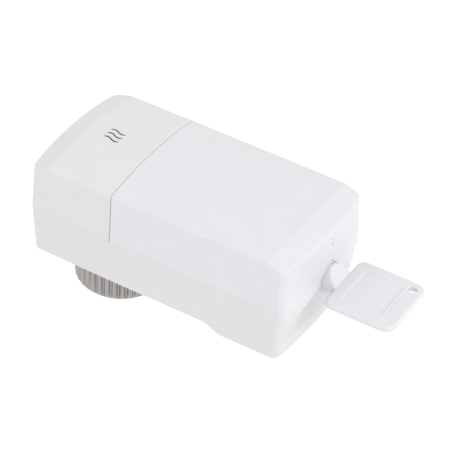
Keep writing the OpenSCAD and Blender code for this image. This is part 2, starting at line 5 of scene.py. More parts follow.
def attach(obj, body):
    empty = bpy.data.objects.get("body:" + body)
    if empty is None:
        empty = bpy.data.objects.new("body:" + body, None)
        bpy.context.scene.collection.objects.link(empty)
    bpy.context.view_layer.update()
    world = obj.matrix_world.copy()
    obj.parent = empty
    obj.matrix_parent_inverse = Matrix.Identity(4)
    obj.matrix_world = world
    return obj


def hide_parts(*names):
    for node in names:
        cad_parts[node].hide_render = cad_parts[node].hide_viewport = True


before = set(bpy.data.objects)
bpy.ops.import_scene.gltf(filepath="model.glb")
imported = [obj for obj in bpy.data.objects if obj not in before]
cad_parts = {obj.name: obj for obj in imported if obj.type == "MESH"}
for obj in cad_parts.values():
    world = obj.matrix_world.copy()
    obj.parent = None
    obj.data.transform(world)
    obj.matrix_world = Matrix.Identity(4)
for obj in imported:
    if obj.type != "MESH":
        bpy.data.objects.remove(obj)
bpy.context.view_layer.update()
scene = bpy.context.scene

# ---------------------------------------------------------------- sizes, mm
H = 27.35            # half width at the parting line
XL, XR = -22.2, 82.9
ZS = 38.9            # parting plane
ZTOP = 59.0          # top edge along the long sides
CROWN_Z = 61.6
R_CROWN = 138.0
TAN = math.tan(math.radians(17.5))
RZ = 38.9            # centre height of the round mouth for the key
RR = 5.92            # its radius
RX = 80.2            # its back wall


def clamp(v, a=0.0, b=1.0):
    return a if v < a else b if v > b else v


def sstep(v):
    v = clamp(v)
    return v * v * (3 - 2 * v)


def soft(d, w=0.45):
    if d <= -w:
        return 0.0
    if d >= w:
        return d
    return (d + w) ** 2 / (4 * w)


def ramp_r(x):
    return clamp((x - 66.0) / 16.9, 0, 1.3)


def ramp_l(x):
    return clamp((-14.1 - x) / 8.1, 0, 1.3)


def bow(y):
    return max(0.0, 1 - (y / H) ** 2)


def roof(x, y):
    z = CROWN_Z - (R_CROWN - math.sqrt(R_CROWN ** 2 - y * y))
    z -= TAN * soft(-14.1 - x)
    z -= TAN * soft(x - (75.5 + 2.0 * bow(y)))
    return z


def cove(y, z):
    """how far the end wall below the key is drawn in"""
    ya = min(abs(y), 27.5)
    tab = ((0, 0.3), (4.0, 0.3), (7.6, -1.2), (12.0, -3.6), (17.0, -7.0), (22.0, -11.5), (25.0, -15.0), (27.6, -19.0))
    for (a, za), (b, zb_) in zip(tab, tab[1:]):
        if ya <= b:
            zb = za + (zb_ - za) * (ya - a) / (b - a)
            break
    s = zb - (z - ZS)
    if s <= -1.4:
        return 0.0
    s = (s + 1.4) ** 2 / 5.6 if s < 1.4 else s
    d = 3.0 * (1 - math.exp(-s / 3.0)) * (1 - 0.9 * sstep((s - 4.0) / 16.0))
    return d * (1 - (ya / 27.6) ** 3) * sstep((z - 20.2) / 4.5)


def side_bow(x):
    return max(0.0, 1 - ((x - 30.35) / 52.55) ** 2)


def w_upper(x, y, z):
    k = clamp((z - 39.0) / 24.0)
    t = bow(y)
    y2 = y * (1 - 0.8 * k / H) * (1 + 0.25 * side_bow(x) / H)
    x2 = x + ramp_r(x) * (3.3 * t - 0.75 * k) + ramp_l(x) * (-0.9 * t + 0.75 * k)
    w = clamp((z - 44.0) / 12.5)
    return x2, y2, z + (roof(x2, y2) - ZTOP) * w


def lower_end(y, z):
    k = clamp((ZS - z) / 19.1, 0, 1.1)
    return XR + (3.3 - 1.9 * k) * bow(y) - 1.7 * k - cove(y, z)


def w_lower(x, y, z):
    k = clamp((ZS - z) / 19.1, 0, 1.1)
    t = bow(y)
    y2 = y * (1 - 1.2 * k / H) * (1 + 0.25 * side_bow(x) / H)
    x2 = x + ramp_r(x) * ((3.3 - 1.9 * k) * t - 1.7 * k) + ramp_l(x) * (-(0.9 - 0.36 * k) * t + 0.9 * k)
    x2 -= cove(y2, z) * clamp((x - 76.0) / 4.0)
    return x2, y2, z


# ---------------------------------------------------------------- mesh tools
def outline(xl, xr, yl, yr, rad, nx=40, ny=24, na=8):
    """rounded rectangle, counter-clockwise; rad = corner radii (++, -+, --, +-).
    Each point: x, y, outward normal, weights of the sides +x, +y, -x, -y"""
    pts = []
    corners = [((xr, yr), (-1, -1), 0, rad[0]), ((xl, yr), (1, -1), 90, rad[1]),
               ((xl, yl), (1, 1), 180, rad[2]), ((xr, yl), (-1, 1), 270, rad[3])]
    n_edge = [nx, ny, nx, ny]
    for i, (c, s, a0, r) in enumerate(corners):
        cx, cy = c[0] + s[0] * r, c[1] + s[1] * r
        for j in range(na + 1):
            f = j / na
            a = math.radians(a0 + 90 * f)
            w = [0, 0, 0, 0]
            g = sstep(f)
            w[i] = 1 - g
            w[(i + 1) % 4] = g
            pts.append((cx + r * math.cos(a), cy + r * math.sin(a), math.cos(a), math.sin(a), w))
        c2, s2, b0, r2 = corners[(i + 1) % 4]
        b = math.radians(a0 + 90)
        p0 = (cx + r * math.cos(b), cy + r * math.sin(b))
        p1 = (c2[0] + s2[0] * r2 + r2 * math.cos(b), c2[1] + s2[1] * r2 + r2 * math.sin(b))
        w = [0, 0, 0, 0]
        w[(i + 1) % 4] = 1
        for j in range(1, n_edge[i]):
            f = j / n_edge[i]
            pts.append((p0[0] + (p1[0] - p0[0]) * f, p0[1] + (p1[1] - p0[1]) * f, math.cos(b), math.sin(b), w))
    return pts


def stack(rings, cap=True):
    bm = bmesh.new()
    vs = [[bm.verts.new(p) for p in r] for r in rings]
    n = len(rings[0])
    for a, b in zip(vs, vs[1:]):
        for i in range(n):
            j = (i + 1) % n
            bm.faces.new((a[i], a[j], b[j], b[i]))
    if cap:
        bm.faces.new(list(reversed(vs[0])))
        bm.faces.new(vs[-1])
    return bm


def rounded_prism(o, z0, z1, r_top, r_bot, zmid=(), seg=5):
    """closed prism over an outline, edge radii given per side"""
    rings = []
    rt = [sum(w * r for w, r in zip(p[4], r_top)) for p in o]
    rb = [sum(w * r for w, r in zip(p[4], r_bot)) for p in o]
    for j in range(seg + 1):
        a = math.pi / 2 * j / seg
        rings.append([(p[0] - p[2] * r * (1 - math.sin(a)), p[1] - p[3] * r * (1 - math.sin(a)), z0 + r * (1 - math.cos(a)))
                      for p, r in zip(o, rb)])
    for z in zmid:
        rings.append([(p[0], p[1], z) for p in o])
    for j in range(seg + 1):
        a = math.pi / 2 * j / seg
        rings.append([(p[0] - p[2] * r * (1 - math.cos(a)), p[1] - p[3] * r * (1 - math.cos(a)), z1 - r * (1 - math.sin(a)))
                      for p, r in zip(o, rt)])
    return stack(rings)


def cut(bm, axis, values):
    n = Vector((0, 0, 0))
    n[axis] = 1
    for v in values:
        bmesh.ops.bisect_plane(bm, geom=bm.verts[:] + bm.edges[:] + bm.faces[:], dist=1e-4, plane_co=n * v, plane_no=n)


def frange(a, b, s):
    n = max(1, int(round((b - a) / s)))
    return [a + (b - a) * i / n for i in range(n + 1)]


def to_object(bm, name):
    bmesh.ops.recalc_face_normals(bm, faces=bm.faces[:])
    me = bpy.data.meshes.new(name)
    bm.to_mesh(me)
    bm.free()
    o = bpy.data.objects.new(name, me)
    scene.collection.objects.link(o)
    return o


def warped(bm, fn):
    for v in bm.verts:
        v.co = Vector(fn(*v.co))
    return bm


def boolean(a, b, op="DIFFERENCE"):
    m = a.modifiers.new("b", "BOOLEAN")
    m.operation = op
    m.object = b
    m.solver = "MANIFOLD"
    dg = bpy.context.evaluated_depsgraph_get()
    me = bpy.data.meshes.new_from_object(a.evaluated_get(dg))
    if len(me.polygons) == 0:
        m.solver = "EXACT"
        dg = bpy.context.evaluated_depsgraph_get()
        me = bpy.data.meshes.new_from_object(a.evaluated_get(dg))
    a.modifiers.clear()
    old = a.data
    a.data = me
    bpy.data.meshes.remove(old)
    old = b.data
    bpy.data.objects.remove(b)
    bpy.data.meshes.remove(old)
    return a


def box_obj(x0, x1, y0, y1, z0, z1, name="tmp"):
    bm = bmesh.new()
    bmesh.ops.create_cube(bm, size=1)
    for v in bm.verts:
        v.co = Vector(((x0 + x1) / 2 + v.co.x * (x1 - x0), (y0 + y1) / 2 + v.co.y * (y1 - y0), (z0 + z1) / 2 + v.co.z * (z1 - z0)))
    return to_object(bm, name)


def cyl_obj(c, axis, r, length, seg=48, r2=None, name="tmp"):
    """cylinder or cone from the point c along an axis"""
    r2 = r if r2 is None else r2
    rings = []
    for f, rad in ((0, r), (1, r2)):
        ring = []
        for i in range(seg):
            a = 2 * math.pi * i / seg
            u, v = rad * math.cos(a), rad * math.sin(a)
            d = length * f
            ring.append({"x": (c[0] + d, c[1] + u, c[2] + v), "y": (c[0] + v, c[1] + d, c[2] + u), "z": (c[0] + u, c[1] + v, c[2] + d)}[axis])
        rings.append(ring)
    return to_object(stack(rings), name)


def union(name, *objs):
    a = objs[0]
    for b in objs[1:]:
        boolean(a, b, "UNION")
    a.name = name
    return a


def finish_piece(o, name, body, nodes, mat, angle=32):
    o.name = name
    o.data.name = name
    bm = bmesh.new()
    bm.from_mesh(o.data)
    bmesh.ops.remove_doubles(bm, verts=bm.verts[:], dist=2e-4)
    bmesh.ops.dissolve_degenerate(bm, edges=bm.edges[:], dist=1e-4)
    loose = [v for v in bm.verts if not v.link_faces]
    bmesh.ops.delete(bm, geom=loose, context="VERTS")
    bm.to_mesh(o.data)
    bm.free()
    o.data.transform(Matrix.Scale(0.001, 4))
    o.data.materials.clear()
    o.data.materials.append(mat)
    o.data.shade_smooth()
    o.data.set_sharp_from_angle(angle=math.radians(angle))
    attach(o, body)
    if nodes:
        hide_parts(*nodes)
    return o


# ---------------------------------------------------------------- materials
def material(name, color, rough=0.4, metallic=0.0, var=0.02, var_mm=9.0, grain=0.15, grain_mm=0.35, wear=0.03,
             coat=0.0, spec=0.5, rough_var=0.06, stretch=(1, 1, 1), sub=0.0, trans=0.0, ior=1.46, tint=None):
    m = bpy.data.materials.new(name)
    m.use_nodes = True
    nt = m.node_tree
    nt.nodes.clear()
    N, L = nt.nodes.new, nt.links.new
    out = N("ShaderNodeOutputMaterial")
    b = N("ShaderNodeBsdfPrincipled")
    L(b.outputs["BSDF"], out.inputs["Surface"])
    b.inputs["Metallic"].default_value = metallic
    b.inputs["Coat Weight"].default_value = coat
    b.inputs["Coat Roughness"].default_value = 0.15
    b.inputs["Specular IOR Level"].default_value = spec
    b.inputs["IOR"].default_value = ior
    b.inputs["Transmission Weight"].default_value = trans
    if sub:
        b.inputs["Subsurface Weight"].default_value = sub
        b.inputs["Subsurface Radius"].default_value = (0.002, 0.0016, 0.0013)
        b.inputs["Subsurface Scale"].default_value = 1.0
    tc = N("ShaderNodeTexCoord")
    mp = N("ShaderNodeMapping")
    mp.inputs["Scale"].default_value = stretch
    L(tc.outputs["Object"], mp.inputs["Vector"])
    n1 = N("ShaderNodeTexNoise")
    n1.inputs["Scale"].default_value = 1000.0 / var_mm
    n1.inputs["Detail"].default_value = 3
    L(mp.outputs["Vector"], n1.inputs["Vector"])
    cr = N("ShaderNodeValToRGB")
    lo = [max(0.0, c * (1 - var)) for c in color]
    hi = [min(1.0, c * (1 + var)) for c in (tint or color)]
    cr.color_ramp.elements[0].position = 0.3
    cr.color_ramp.elements[1].position = 0.7
    cr.color_ramp.elements[0].color = (*lo, 1)
    cr.color_ramp.elements[1].color = (*hi, 1)
    L(n1.outputs["Fac"], cr.inputs["Fac"])
    geo = N("ShaderNodeNewGeometry")
    wr = N("ShaderNodeMapRange")
    wr.inputs["From Min"].default_value = 0.52
    wr.inputs["From Max"].default_value = 0.62
    wr.inputs["To Min"].default_value = 0.0
    wr.inputs["To Max"].default_value = 1.0
    L(geo.outputs["Pointiness"], wr.inputs["Value"])
    n3 = N("ShaderNodeTexNoise")
    n3.inputs["Scale"].default_value = 420.0
    n3.inputs["Detail"].default_value = 4
    L(mp.outputs["Vector"], n3.inputs["Vector"])
    wm = N("ShaderNodeMath")
    wm.operation = "MULTIPLY"
    L(wr.outputs["Result"], wm.inputs[0])
    L(n3.outputs["Fac"], wm.inputs[1])
    mix = N("ShaderNodeMix")
    mix.data_type = "RGBA"
    worn = [min(1.0, c * (1 + wear * 3)) for c in color]
    mix.inputs["B"].default_value = (*worn, 1)
    L(wm.outputs["Value"], mix.inputs["Factor"])
    L(cr.outputs["Color"], mix.inputs["A"])
    L(mix.outputs["Result"], b.inputs["Base Color"])
    n2 = N("ShaderNodeTexNoise")
    n2.inputs["Scale"].default_value = 1000.0 / grain_mm
    n2.inputs["Detail"].default_value = 5
    n2.inputs["Roughness"].default_value = 0.6
    L(mp.outputs["Vector"], n2.inputs["Vector"])
    rr = N("ShaderNodeMapRange")
    rr.inputs["From Min"].default_value = 0.3
    rr.inputs["From Max"].default_value = 0.7
    rr.inputs["To Min"].default_value = max(0.02, rough - rough_var)
    rr.inputs["To Max"].default_value = min(1.0, rough + rough_var)
    L(n3.outputs["Fac"], rr.inputs["Value"])
    L(rr.outputs["Result"], b.inputs["Roughness"])
    bp = N("ShaderNodeBump")
    bp.inputs["Strength"].default_value = grain
    bp.inputs["Distance"].default_value = 0.00004
    L(n2.outputs["Fac"], bp.inputs["Height"])
    L(bp.outputs["Normal"], b.inputs["Normal"])
    m["bsdf"] = b.name
    return m


WHITE = (0.80, 0.80, 0.795)
WHITE_C = (0.815, 0.81, 0.85)
M = {
    "housing_white": material("housing_white", (0.62, 0.617, 0.637), 0.42, wear=0.02, var=0.012),
    "cover_white": material("cover_white", (0.625, 0.624, 0.63), 0.42, wear=0.02, var=0.012),
    "cover_white_cool": material("cover_white_cool", (0.635, 0.631, 0.655), 0.42, wear=0.02, var=0.012),
    "key_white": material("key_white", (0.635, 0.631, 0.655), 0.38, wear=0.03, var=0.012),
    "nickel_steel": material("nickel_steel", (0.37, 0.355, 0.34), 0.42, 1.0, var=0.08, var_mm=3.0, grain=0.25, grain_mm=0.25, wear=0.12, stretch=(1, 1, 0.15)),
    "brass": material("brass", (0.66, 0.55, 0.34), 0.33, 1.0, var=0.06, var_mm=4.0, wear=0.1),
    "zinc_steel": material("zinc_steel", (0.6, 0.61, 0.63), 0.35, 1.0, var=0.08, var_mm=2.5, wear=0.1),
    "frame_plastic": material("frame_plastic", (0.055, 0.058, 0.065), 0.5, var=0.12, var_mm=3, wear=0.25, grain=0.35),
    "screw_steel": material("screw_steel", (0.55, 0.56, 0.58), 0.32, 1.0, var=0.08, var_mm=1.5, wear=0.15),
    "motor_steel": material("motor_steel", (0.58, 0.58, 0.6), 0.28, 1.0, var=0.05, var_mm=3, wear=0.1, stretch=(1, 1, 0.1)),
    "shaft_steel": material("shaft_steel", (0.62, 0.62, 0.64), 0.2, 1.0, var=0.04, var_mm=2, wear=0.05),
    "pinion_brass": material("pinion_brass", (0.7, 0.56, 0.3), 0.3, 1.0, var=0.06, var_mm=1, wear=0.15),
    "gear_plastic": material("gear_plastic", (0.72, 0.69, 0.6), 0.45, var=0.03, var_mm=3, wear=0.05, sub=0.05),
    "rod_plastic": material("rod_plastic", (0.62, 0.62, 0.62), 0.4, var=0.03, var_mm=3, wear=0.05),
    "tray_plastic": material("tray_plastic", (0.66, 0.66, 0.67), 0.5, var=0.02, var_mm=6, wear=0.04, grain=0.3),
    "contact_nickel": material("contact_nickel", (0.68, 0.66, 0.6), 0.25, 1.0, var=0.06, var_mm=1.5, wear=0.1),
    "board_green": material("board_green", (0.03, 0.17, 0.07), 0.35, var=0.25, var_mm=1.2, wear=0.3, tint=(0.04, 0.22, 0.09), coat=0.3),
    "chip_black": material("chip_black", (0.018, 0.018, 0.02), 0.45, var=0.2, var_mm=1, wear=0.4, grain=0.4),
    "shield_tin": material("shield_tin", (0.7, 0.7, 0.7), 0.3, 1.0, var=0.06, var_mm=2, wear=0.08),
    "capacitor_sleeve": material("capacitor_sleeve", (0.02, 0.03, 0.09), 0.3, var=0.15, var_mm=2, wear=0.3, coat=0.3),
    "connector_plastic": material("connector_plastic", (0.72, 0.71, 0.66), 0.45, var=0.03, var_mm=2, wear=0.05),
    "button_grey": material("button_grey", (0.2, 0.215, 0.24), 0.5, var=0.05, var_mm=2, wear=0.1, grain=0.3),
    "led_amber": material("led_amber", (0.85, 0.42, 0.08), 0.2, var=0.05, var_mm=1, wear=0.05, coat=0.4),
    "guide_clear": material("guide_clear", (0.93, 0.95, 0.97), 0.08, var=0.01, var_mm=2, wear=0.0, trans=0.9, ior=1.49, grain=0.03),
    "rotor_plastic": material("rotor_plastic", (0.1, 0.105, 0.115), 0.45, var=0.08, var_mm=2, wear=0.2, grain=0.3),
    "mark_grey": material("mark_grey", (0.06, 0.06, 0.065), 0.5, var=0.06, var_mm=1.5, wear=0.0, grain=0.2, grain_mm=0.15),
}

# cell jacket: bare metal ends, a printed sleeve between them
M["cell_jacket"] = cj = material("cell_jacket", (0.11, 0.2, 0.27), 0.3, var=0.05, var_mm=5, wear=0.05, coat=0.4)
nt = cj.node_tree
N, L = nt.nodes.new, nt.links.new
bsdf = nt.nodes[cj["bsdf"]]
tc = N("ShaderNodeTexCoord")
sx = N("ShaderNodeSeparateXYZ")
L(tc.outputs["Object"], sx.inputs["Vector"])


def band(x0, x1):
    """1 inside x0..x1 (metres), along the cells"""
    d = N("ShaderNodeMath"); d.operation = "SUBTRACT"; d.inputs[1].default_value = (x0 + x1) / 2
    L(sx.outputs["X"], d.inputs[0])
    a = N("ShaderNodeMath"); a.operation = "ABSOLUTE"
    L(d.outputs[0], a.inputs[0])
    c = N("ShaderNodeMath"); c.operation = "LESS_THAN"; c.inputs[1].default_value = (x1 - x0) / 2
    L(a.outputs[0], c.inputs[0])
    return c.outputs[0]


sleeve = band(0.0193, 0.0681)
stripe = band(0.0265, 0.0305)
old = bsdf.inputs["Base Color"].links[0].from_socket
m1 = N("ShaderNodeMix"); m1.data_type = "RGBA"
m1.inputs["B"].default_value = (0.72, 0.73, 0.74, 1)
L(stripe, m1.inputs["Factor"]); L(old, m1.inputs["A"])
m2 = N("ShaderNodeMix"); m2.data_type = "RGBA"
m2.inputs["A"].default_value = (0.62, 0.62, 0.63, 1)
L(sleeve, m2.inputs["Factor"]); L(m1.outputs["Result"], m2.inputs["B"])
L(m2.outputs["Result"], bsdf.inputs["Base Color"])
inv = N("ShaderNodeMath"); inv.operation = "SUBTRACT"; inv.inputs[0].default_value = 1.0
L(sleeve, inv.inputs[1])
L(inv.outputs[0], bsdf.inputs["Metallic"])

# ---------------------------------------------------------------- covers
XC = frange(-21.0, -16.2, 1.2) + frange(-15.6, -12.6, 0.3) + frange(-11.5, 73.5, 2.5) + frange(74.0, 77.6, 0.3) + frange(78.4, 82.4, 1.0)
YC = frange(-26.4, 26.4, 1.32)


def upper(xl, xr, rad, r_top, name):
    nx = max(8, int((xr - xl) / 2))
    o = outline(xl, xr, -H, H, rad, nx=nx, ny=36, na=8)
    bm = rounded_prism(o, 38.905, ZTOP, r_top, (0.12,) * 4, zmid=(44.0, 48.0, 52.0, 56.5), seg=5)
    cut(bm, 0, [x for x in XC if xl + 0.3 < x < xr - 0.3])
    cut(bm, 1, YC)
    return to_object(warped(bm, w_upper), name)


def upper_cavity(xl, xr, rad):
    o = outline(xl, xr, -H + 2.2, H - 2.2, rad, nx=20, ny=20, na=5)
    bm = rounded_prism(o, 30.0, ZTOP - 2.0, (0.8,) * 4, (0.0,) * 4, zmid=(44.0, 48.0, 52.0, 55.5), seg=3)
    bmesh.ops.remove_doubles(bm, verts=bm.verts[:], dist=1e-5)
    cut(bm, 0, [x for x in XC if xl + 1 < x < xr - 1][::2])
    cut(bm, 1, YC[::2])
    return to_object(warped(bm, w_upper), "cavity")


def recess_cutter(lower):
    """round pocket with an eased mouth that follows the end wall"""
    seg = 96
    rings = []
    r0 = 0.18

    def surf(y, z):
        if z > ZS:
            return XR + 3.3 * bow(y) - 0.75 * (z - 39.0) / 24.0
        return lower_end(y, min(z, ZS))
    for mode, a in [("back", 0.0), ("back", 0.3)] + [("mouth", -r0 * (1 - j / 5)) for j in range(6)] + [("out", 1.2), ("far", 9.0)]:
        ring = []
        for i in range(seg):
            th = 2 * math.pi * i / seg
            r = RR
            if mode == "back":
                r = RR - 0.3 * (1 - a / 0.3)
            elif mode == "mouth":
                u = r0 + a
                r = RR + r0 - math.sqrt(max(0.0, r0 * r0 - u * u))
            elif mode in ("out", "far"):
                r = RR + r0 + (0.6 if mode == "out" else 0.8)
            y, z = r * math.sin(th), RZ + r * math.cos(th)
            x = RX + a if mode == "back" else surf(RR * math.sin(th), RZ + RR * math.cos(th)) + a
            ring.append((x, y, z))
        rings.append(ring)
    return to_object(stack(rings), "recess")


front = upper(XL, 12.13, (0.4, 3.2, 3.2, 0.4), (0.22, 0.8, 0.8, 0.8), "front")
boolean(front, upper_cavity(XL + 2.2, 10.45, (0.6, 1.6, 1.6, 0.6)))
boolean(front, box_obj(9.0, 14.0, -8.6, 8.6, 30.0, 54.3))
boolean(front, box_obj(9.0, 14.0, -25.0, 25.0, 30.0, 41.1))
finish_piece(front, "front_cover_shell", "casing", ["front_cover"], M["cover_white"])

cover = upper(12.27, XR, (2.4, 0.4, 0.4, 2.4), (0.8, 0.8, 0.22, 0.8), "cover")
cavity = upper_cavity(6.0, XR - 2.2, (1.6, 0.6, 0.6, 1.6))
boolean(cavity, cyl_obj((78.5, 0, RZ), "x", RR + 1.7, 12, 96))
boolean(cover, cavity)
for x in (26.0, 44.0, 62.0):
    # stiffening rib that follows the roof
    ys = frange(-25.0, 25.0, 2.5)
    prof = [(y, 57.8) for y in ys] + [(y, roof(x, y) - 1.0) for y in reversed(ys)]
    rib = to_object(stack([[(x, y, z) for y, z in prof], [(x + 1.2, y, z) for y, z in prof]]), "rib")
    boolean(cover, rib, "UNION")
lug = box_obj(73.7, 75.2, 6.9, 12.3, 41.2, 59.8)
boolean(lug, box_obj(72.0, 77.0, 6.0, 11.0, 43.0, 52.0))
boolean(cover, lug, "UNION")
boolean(cover, recess_cutter(False))
boolean(cover, cyl_obj((70.0, 0, ZS), "x", 5.88, 20, 96))
boolean(cover, cyl_obj((85.2, 1.2, 45.9), "x", 0.5, 6, 24))
for z in (53.3, 55.4):
    boolean(cover, cyl_obj((85.2, 0.7, z), "x", 0.4, 6, 20))
finish_piece(cover, "battery_cover_shell", "battery_cover", ["battery_cover"], M["cover_white_cool"])

# ---------------------------------------------------------------- lower housing
o = outline(XL, XR, -H, H, (2.4, 3.2, 3.2, 2.4), nx=56, ny=44, na=8)
bm = rounded_prism(o, 19.8, 38.895, (0.12,) * 4, (0.7, 0.6, 0.5, 0.6), zmid=(24.0, 30.0, 35.0), seg=5)
cut(bm, 2, frange(21.0, 38.3, 0.62))
cut(bm, 1, frange(-26.6, 26.6, 1.0))
cut(bm, 0, frange(-20.0, 80.0, 5.0))
low = to_object(warped(bm, w_lower), "low")


def bulge(inset, floor, top):
    rings = []
    n = 18
    for j in range(n + 1):
        k = 1 - j / n
        # left end follows a soft S ramp
        lo, hi = 0.0, 1.0
        for _ in range(24):
            mid = (lo + hi) / 2
            if mid * mid * (3 - 2 * mid) < k:
                lo = mid
            else:
                hi = mid
        xl = 47.6 + 9.6 * (lo + hi) / 2
        z = 19.8 - (19.8 - floor) * k
        zz = z - floor
        e = 1.1 - math.sqrt(max(0.0, 1.21 - (1.1 - zz) ** 2)) if zz < 1.1 else 0.0
        hy = 25.75 - 2.0 * k - e - inset
        xr = 80.7 - 0.9 * k - e - inset
        xl += inset
        ring = []
        for p in outline(xl, xr, -hy, hy, (3.0, 2.2, 2.2, 3.0), nx=30, ny=26, na=7):
            t = max(0.0, 1 - (p[1] / 25.5) ** 2)
            f = clamp((p[0] - 68.0) / 12.0)
            g = clamp((62.0 - p[0]) / 8.0)
            ring.append((p[0] + 1.6 * t * f - 0.5 * t * g, p[1], z))
        rings.append(ring)
    last = rings[-1]
    rings.append([(x - 0.05 * (1 if x > 70 else 0), y * 0.999, top) for x, y, z in last])
    return to_object(stack(rings), "bulge")


boolean(low, bulge(0.0, 14.1, 20.3), "UNION")
o = outline(XL + 2, XR - 2, -H + 2, H - 2, (1.8,) * 4, nx=30, ny=30, na=5)
bm = rounded_prism(o, 21.8, 44.0, (0.0,) * 4, (0.8,) * 4, zmid=(25.0, 30.0, 35.0, 39.0), seg=3)
bmesh.ops.remove_doubles(bm, verts=bm.verts[:], dist=1e-5)
cut(bm, 2, frange(23.0, 38.3, 1.5))
cut(bm, 1, frange(-24.0, 24.0, 2.0))
cav = to_object(warped(bm, w_lower), "cav")
boolean(cav, bulge(3.6, 16.1, 22.3), "UNION")
boolean(cav, cyl_obj((78.2, 0, RZ), "x", RR + 2.0, 12, 96))
boolean(low, cav)
# lip that locates the covers
for (i0, i1, z0, z1) in ((1.2, 3.3, 35.2, 38.75), (2.35, 3.3, 38.6, 40.4)):
    oa = outline(XL + i0, XR - i0 - 0.1, -H + i0, H - i0, (2.4,) * 4, nx=40, ny=30, na=6)
    ob = outline(XL + i1, XR - i1, -H + i1, H - i1, (1.6,) * 4, nx=40, ny=30, na=6)
    ra = stack([[w_upper(p[0], p[1], 39.0)[:2] + (z,) for p in oa] for z in (z0, z1 - 0.15)] +
               [[w_upper(p[0] - 0.15 * p[2], p[1] - 0.15 * p[3], 39.0)[:2] + (z1,) for p in oa]])
    rb = stack([[w_upper(p[0], p[1], 39.0)[:2] + (z,) for p in ob] for z in (z0 - 1, z1 + 1)])
    ring = to_object(ra, "ring")
    boolean(ring, to_object(rb, "hole"))
    boolean(ring, box_obj(72.0, 90.0, -11.3, 11.3, 28.0, 48.0))
    boolean(low, ring, "UNION")
for p in ((-15.8, -18), (7, -18), (7, 20), (-15.8, 20)):
    post = cyl_obj((p[0], p[1], 20.8), "z", 3.0, 43.5 - 20.8, 40)
    boolean(post, cyl_obj((p[0], p[1], 34.5), "z", 1.1, 12, 24))
    boolean(low, post, "UNION")
for p in ((17.5, -20.9), (17.5, 20.9), (76.6, -20.4), (76.6, 20.4)):
    z0 = 15.1 if p[0] > 50 else 20.8
    post = cyl_obj((p[0], p[1], z0), "z", 2.4, 33.0 - z0, 36)
    boolean(post, cyl_obj((p[0], p[1], 32.0), "z", 2.0, 38.7 - 32.0, 36), "UNION")
    boolean(post, cyl_obj((p[0], p[1], 29.7), "z", 0.9, 12, 24))
    boolean(low, post, "UNION")
boolean(low, box_obj(75.5, 78.1, -7, 7, 15.1, 29.9), "UNION")
boolean(low, cyl_obj((0, 0, 18.0), "z", 12.1, 6, 120))
boolean(low, recess_cutter(True))
boolean(low, cyl_obj((70.0, 0, ZS), "x", 5.88, 20, 96))
finish_piece(low, "lower_housing_shell", "casing", ["lower_housing"], M["housing_white"])

# ---------------------------------------------------------------- union nut
RIBS, SUB = 36, 10
NS = RIBS * SUB
R_OUT, DEPTH = 17.0, 0.78


def rib_r(i):
    f = (i % SUB) / SUB
    d = abs(f - 0.5) * 2            # 0 at the crest, 1 in the valley
    s = 1 - sstep((d - 0.42) / 0.42)
    return R_OUT - DEPTH + DEPTH * s


prof = []   # (kind, radius, z), round the section
zs_out = [0.0, 0.12, 0.4, 0.8, 1.2, 1.6, 2.0, 3.0, 5.0, 7.5, 10.0, 12.5, 15.0, 16.4, 16.9, 17.3, 17.7, 18.1, 18.4]
for z in zs_out:
    cone = min(15.35 + (0.3 if z > 0 else 0) + z * 0.95, 17.2, 17.2 - max(0.0, z - 17.1) * 0.75)
    prof.append(("out", cone, z))
prof += [("in", 13.2, 18.4), ("in", 12.75, 18.2), ("in", 12.6, 18.0), ("in", 12.6, 14.6), ("in", 12.7, 14.5), ("in", 15.1, 14.4), ("in", 15.1, 9.9)]
z = 9.5
while z > 0.01:
    prof.append(("thread", 14.2, z))
    z -= 0.1875
prof.append(("in", 15.05, 0.0))
bm = bmesh.new()
cols = []
for i in range(NS):
    a = 2 * math.pi * i / NS
    col = []
    for kind, r, z in prof:
        if kind == "out":
            r = min(r, rib_r(i))
        elif kind == "thread":
            ph = (z / 1.5 - i / NS) % 1.0
            tri = abs(ph - 0.5) * 2
            r = 14.2 + 0.82 * clamp((tri - 0.12) / 0.76)
            r = max(r, 15.05 - z * 0.8)
        col.append(bm.verts.new((r * math.cos(a), r * math.sin(a), z)))
    cols.append(col)
for i in range(NS):
    a, b = cols[i], cols[(i + 1) % NS]
    for j in range(len(prof)):
        k = (j + 1) % len(prof)
        bm.faces.new((a[j], b[j], b[k], a[k]))
nut = to_object(bm, "nut")
finish_piece(nut, "union_nut_knurled", "union_nut", ["union_nut"], M["nickel_steel"], 38)

# ---------------------------------------------------------------- key
KH = 13.9
o = outline(91.0, 118.0, -KH, KH, (4.6, 3.2, 3.2, 4.6), nx=30, ny=30, na=12)
bm = rounded_prism(o, ZS - 1.3, ZS + 1.3, (1.0,) * 4, (1.0,) * 4, zmid=(), seg=7)
g = frange(92.4, 94.6, 1.1) + frange(94.9, 95.9, 0.2) + frange(97.5, 109.0, 2.3) + frange(110.2, 112.8, 0.2) + frange(114.0, 117.0, 1.5)
cut(bm, 0, g)
cut(bm, 1, frange(-12.8, -9.9, 0.97) + frange(-9.6, -8.6, 0.2) + frange(-7.0, 7.0, 2.0) + frange(8.6, 9.6, 0.2) + frange(9.9, 12.8, 0.97) + [-6.2, -5.9, -5.6, 5.6, 5.9, 6.2])


def gate(v, a, b, s=0.4):
    return sstep((v - a + s) / (2 * s)) * (1 - sstep((v - b + s) / (2 * s)))


